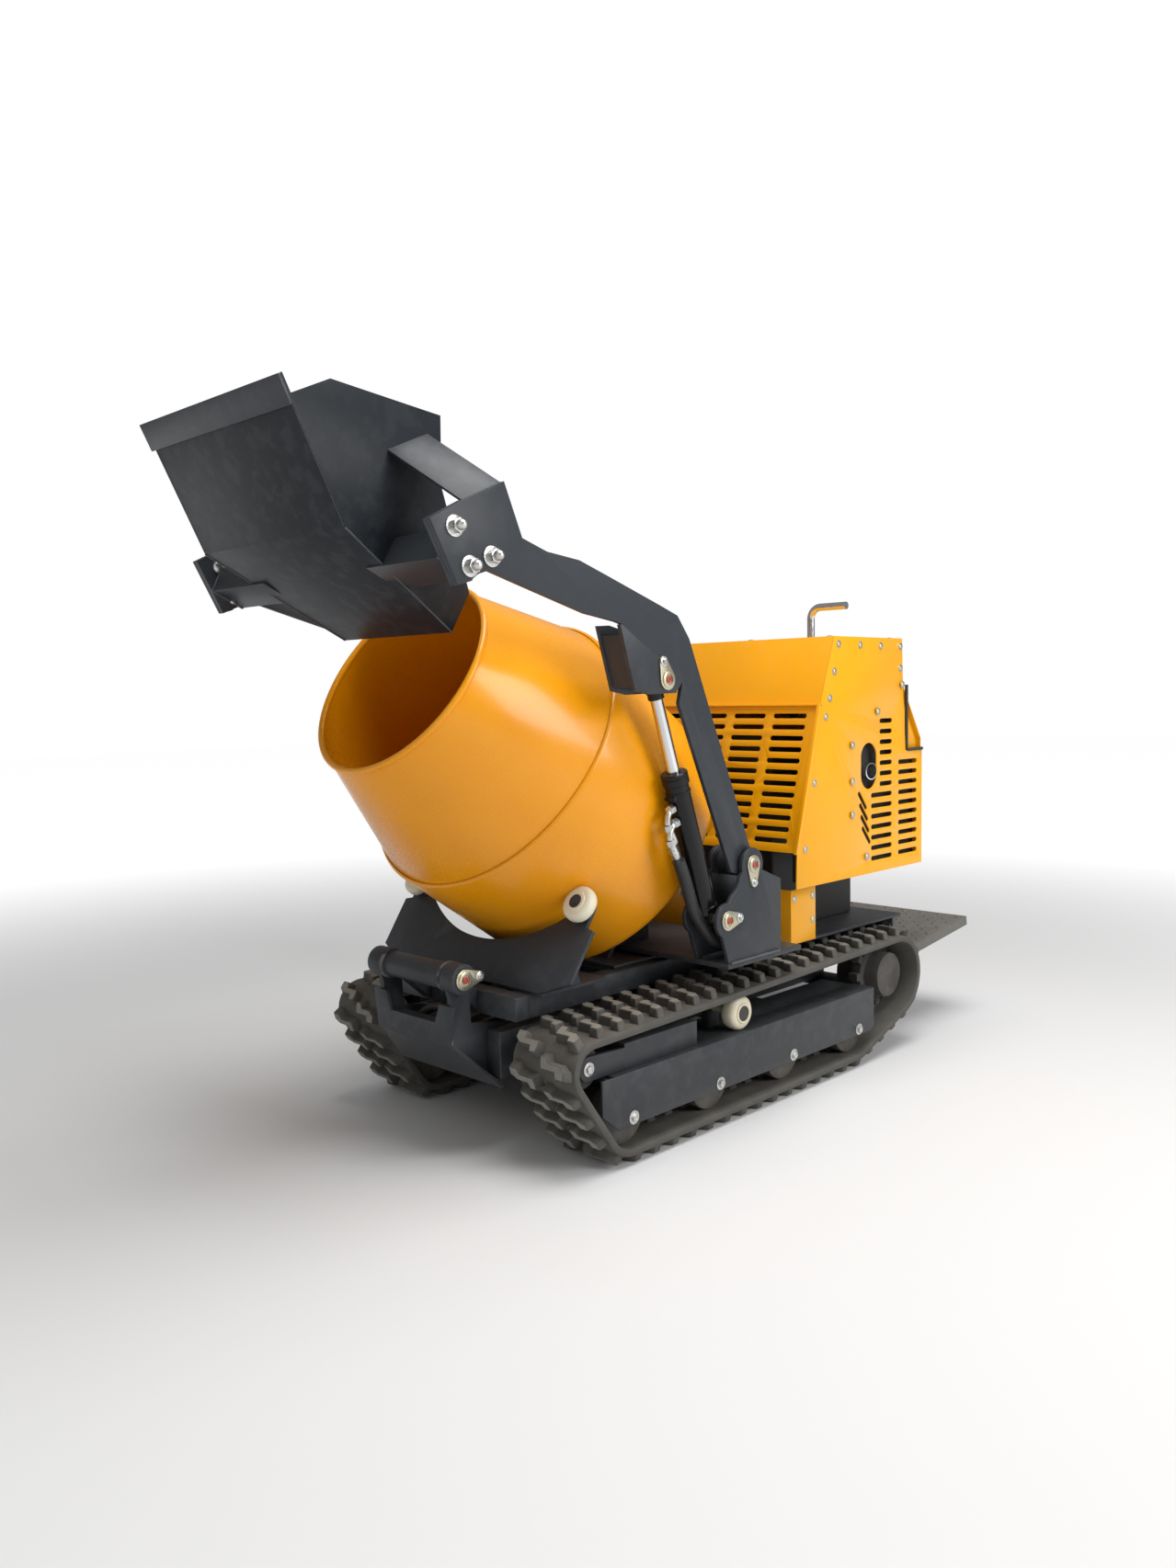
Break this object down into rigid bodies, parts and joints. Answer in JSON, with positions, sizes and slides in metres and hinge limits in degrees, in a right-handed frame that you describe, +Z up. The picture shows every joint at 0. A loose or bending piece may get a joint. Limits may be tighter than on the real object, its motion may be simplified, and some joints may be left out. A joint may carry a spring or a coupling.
{
  "type": "tracked concrete mixer dumper",
  "caption": "Rubber-tracked walk-behind dumper with a tilted mixing drum on a tipping frame and a self-loading bucket on two hydraulic arms.",
  "frame": {"origin": "on the ground, under the middle of the machine's full length and width", "axes": "+X forward towards the bucket, +Y to the machine's left, +Z up"},
  "size_m": [2.2046, 0.86, 1.508],
  "materials": {
    "track_rubber": "moulded, dusty",
    "anthracite_paint": "satin",
    "wheel_steel": "satin, worn on the running faces",
    "roller_nylon": "smooth",
    "zinc_plate": "yellow zinc plate",
    "engine_black": "matt",
    "yellow_paint": "gloss",
    "chrome": "polished",
    "checker_plate": "worn checker plate",
    "blade_steel": "satin, scraped",
    "cylinder_black": "gloss"
  },
  "bodies": {
    "chassis": {"left_track": "track_rubber", "right_track": "track_rubber", "track_rollers": "wheel_steel", "idler_wheels": "wheel_steel", "drive_sprockets": "wheel_steel", "track_frames": "anthracite_paint", "track_guards": "anthracite_paint", "carrier_rollers": "roller_nylon", "track_tensioners": "anthracite_paint", "chassis_rails": "anthracite_paint", "chassis_cross_members": "anthracite_paint", "front_plate": "anthracite_paint", "tipping_pins": "zinc_plate", "engine_deck": "anthracite_paint", "engine_block": "engine_black", "hood_left_side": "yellow_paint", "hood_right_side": "yellow_paint", "hood_front": "yellow_paint", "hood_top": "yellow_paint", "control_console": "yellow_paint", "hood_skirt": "yellow_paint", "grab_handle": "chrome", "platform_bracket": "anthracite_paint"},
    "platform": {"foot_platform": "checker_plate"},
    "mixer_frame": {"mixer_rails": "anthracite_paint", "mixer_cross_beams": "anthracite_paint", "mixer_hinge": "anthracite_paint", "drum_cradle": "anthracite_paint", "drum_support": "anthracite_paint", "drum_drive": "engine_black", "tower_base": "anthracite_paint", "left_tower": "anthracite_paint", "right_tower": "anthracite_paint", "tower_pins": "zinc_plate"},
    "drum": {"drum_front_cone": "yellow_paint", "drum_barrel": "yellow_paint", "mixing_blades": "blade_steel"},
    "left_roller": {"left_drum_roller": "roller_nylon"},
    "right_roller": {"right_drum_roller": "roller_nylon"},
    "lift_arms": {"left_lift_arm": "anthracite_paint", "right_lift_arm": "anthracite_paint", "bucket_shell": "anthracite_paint", "cutting_edge": "blade_steel", "bucket_mounts": "anthracite_paint"},
    "left_barrel": {"left_lift_barrel": "cylinder_black"},
    "right_barrel": {"right_lift_barrel": "cylinder_black"},
    "left_rod": {"left_lift_rod": "chrome"},
    "right_rod": {"right_lift_rod": "chrome"},
    "tip_barrel_body": {"tip_barrel": "cylinder_black"},
    "tip_rod_body": {"tip_rod": "chrome"}
  },
  "joints": [
    {"name": "mixer_tip", "type": "hinge", "parent": "chassis", "child": "mixer_frame", "pos_m": [0.65837, 0, 0.387], "axis": [0, 1, 0], "range_deg": [0, 40]},
    {"name": "arm_lift", "type": "hinge", "parent": "mixer_frame", "child": "lift_arms", "pos_m": [0.05737, 0, 0.579], "axis": [0, -1, 0], "range_deg": [-65.5, 0]},
    {"name": "drum_spin", "type": "hinge", "parent": "mixer_frame", "child": "drum", "pos_m": [0.19194, 0, 0.66801], "axis": [0.8274, 0, 0.5616], "continuous": true},
    {"name": "platform_fold", "type": "hinge", "parent": "chassis", "child": "platform", "pos_m": [-0.77763, 0, 0.243], "axis": [0, 1, 0], "range_deg": [0, 83]},
    {"name": "tip_barrel_swing", "type": "hinge", "parent": "chassis", "child": "tip_barrel_body", "pos_m": [0.58237, 0, 0.215], "axis": [0, -1, 0], "range_deg": [-38.58, 0]},
    {"name": "tip_rod_slide", "type": "slide", "parent": "tip_barrel_body", "child": "tip_rod_body", "axis": [-0.9811, 0, 0.1936], "range_m": [0, 0.1288]},
    {"name": "left_roller_spin", "type": "hinge", "parent": "mixer_frame", "child": "left_roller", "pos_m": [0.44692, 0.27158, 0.52742], "axis": [0.8274, 0, 0.5616], "continuous": true},
    {"name": "left_barrel_swing", "type": "hinge", "parent": "mixer_frame", "child": "left_barrel", "pos_m": [0.14937, 0.37, 0.467], "axis": [0, -1, 0], "range_deg": [-66.08, 0]},
    {"name": "left_rod_slide", "type": "slide", "parent": "left_barrel", "child": "left_rod", "axis": [0.314, 0, 0.9494], "range_m": [-0.1578, 0]},
    {"name": "right_roller_spin", "type": "hinge", "parent": "mixer_frame", "child": "right_roller", "pos_m": [0.44692, -0.27158, 0.52742], "axis": [0.8274, 0, 0.5616], "continuous": true},
    {"name": "right_barrel_swing", "type": "hinge", "parent": "mixer_frame", "child": "right_barrel", "pos_m": [0.14937, -0.37, 0.467], "axis": [0, -1, 0], "range_deg": [-66.08, 0]},
    {"name": "right_rod_slide", "type": "slide", "parent": "right_barrel", "child": "right_rod", "axis": [0.314, 0, 0.9494], "range_m": [-0.1578, 0]}
  ],
  "couplings": [
    {"joint": "tip_barrel_swing", "follows": "mixer_tip", "ratio": -0.95439},
    {"joint": "tip_rod_slide", "follows": "mixer_tip", "m_per_rad": 0.18312},
    {"joint": "left_roller_spin", "follows": "drum_spin", "ratio": -8.619},
    {"joint": "left_barrel_swing", "follows": "arm_lift", "ratio": 1.0028},
    {"joint": "left_rod_slide", "follows": "arm_lift", "m_per_rad": 0.13717},
    {"joint": "right_roller_spin", "follows": "drum_spin", "ratio": -8.619},
    {"joint": "right_barrel_swing", "follows": "arm_lift", "ratio": 1.0028},
    {"joint": "right_rod_slide", "follows": "arm_lift", "m_per_rad": 0.13717}
  ]
}
